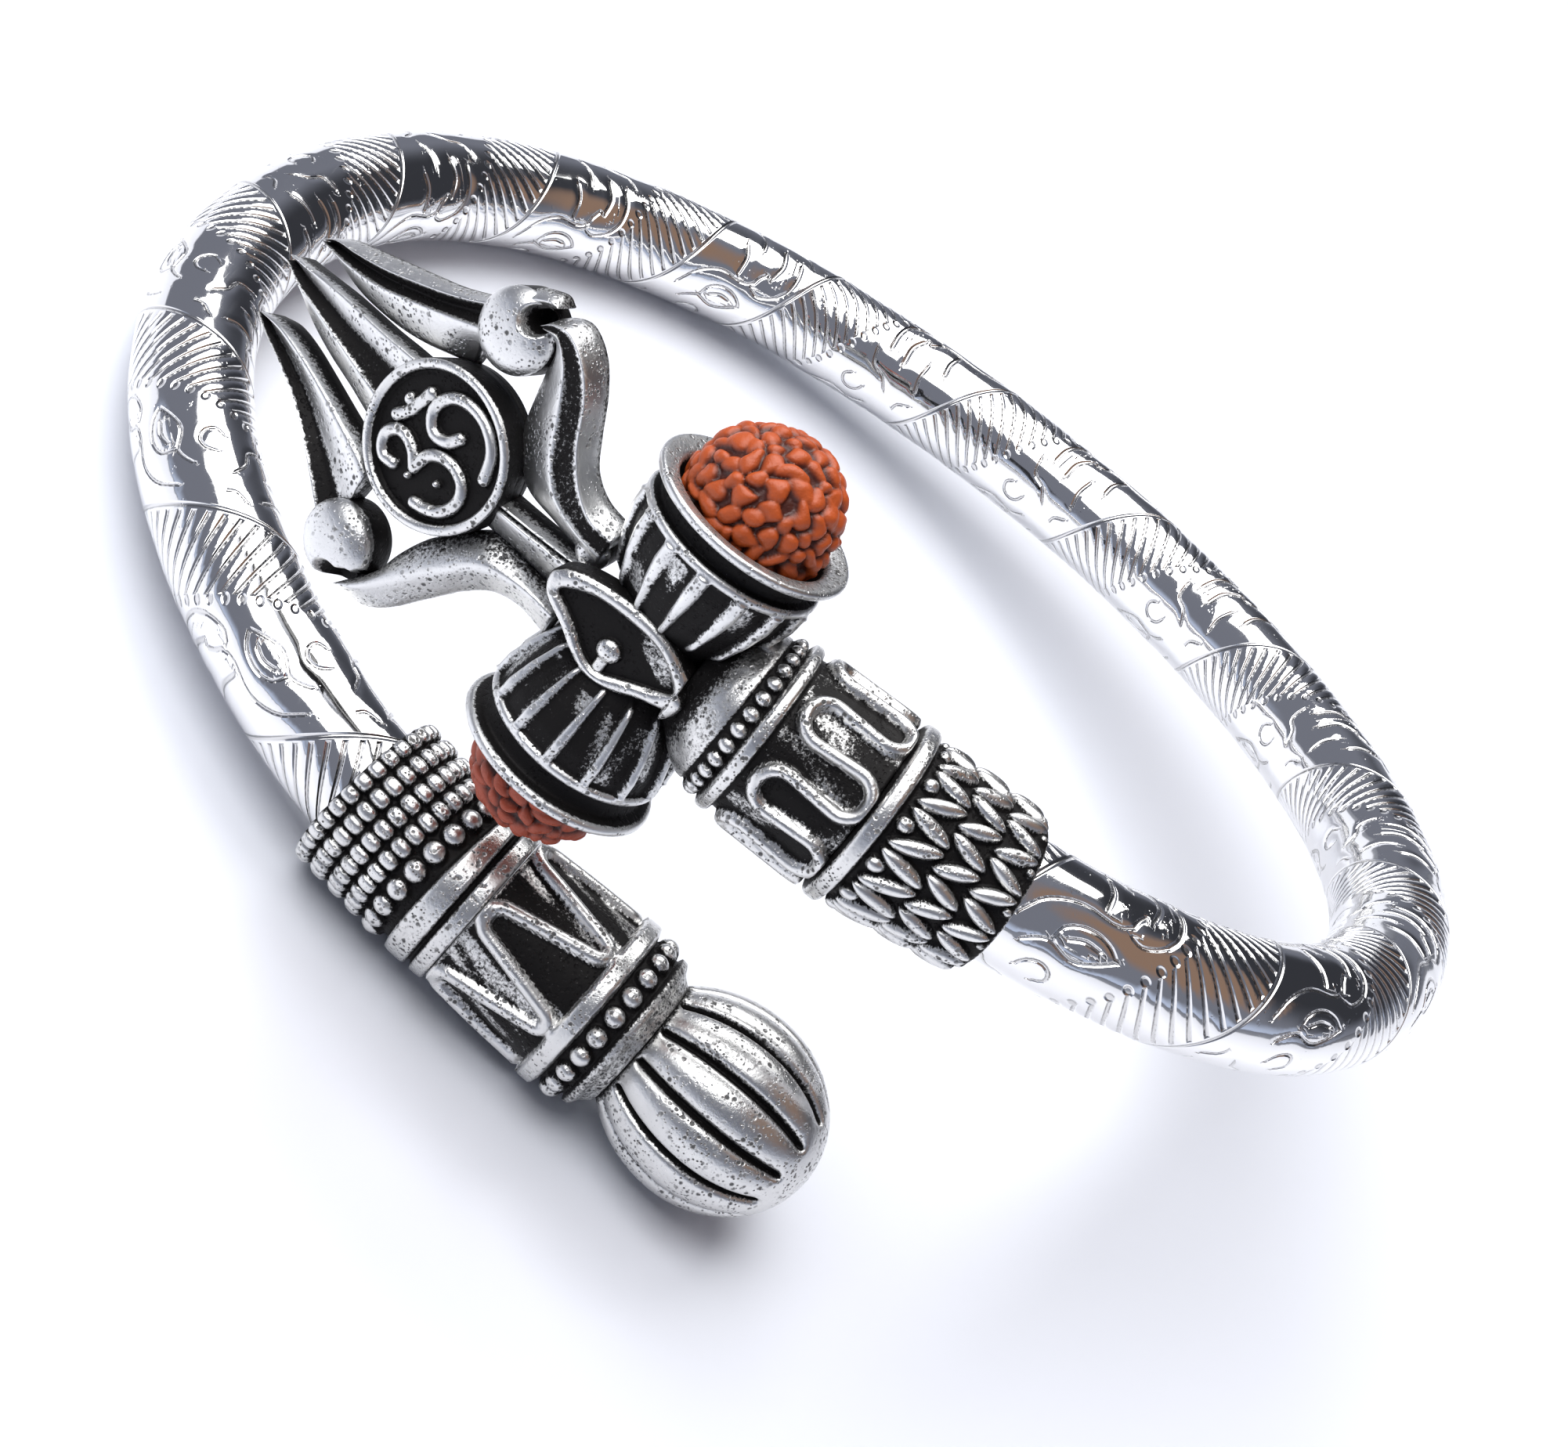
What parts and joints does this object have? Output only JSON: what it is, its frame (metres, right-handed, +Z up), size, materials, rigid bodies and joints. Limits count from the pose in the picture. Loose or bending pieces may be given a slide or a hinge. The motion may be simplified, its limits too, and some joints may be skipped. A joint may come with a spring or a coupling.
{
  "type": "open bypass bangle (kada)",
  "caption": "Open round-wire bangle lying on its side: engraved tube ring with a melon-ended sleeve at one end and a drum, eye and trident ornament at the other.",
  "frame": {"origin": "centre of the footprint's bounding box, on the surface that the bangle lies on", "axes": "+Z up, -Y towards the front where the two ends pass each other, +X to the right as seen from the front"},
  "size_m": [0.0778, 0.0766, 0.0352],
  "materials": {
    "plated_silver": "bright silver plating with engraved bands",
    "oxidised_silver": "antique silver, black in the recesses and worn bright on the raised parts",
    "seed": "red-brown rudraksha seed with deep wrinkles, slightly oiled"
  },
  "bodies": {
    "root": {"bangle_tube": "plated_silver", "tail_collar": "oxidised_silver", "tail_barrel": "oxidised_silver", "melon_finial": "oxidised_silver", "braid_collar": "oxidised_silver", "serpentine_barrel": "oxidised_silver", "damru": "oxidised_silver", "eye_boss": "oxidised_silver", "trident": "oxidised_silver", "om_medallion": "oxidised_silver", "rudraksha_upper": "seed", "rudraksha_lower": "seed"}
  },
  "joints": []
}
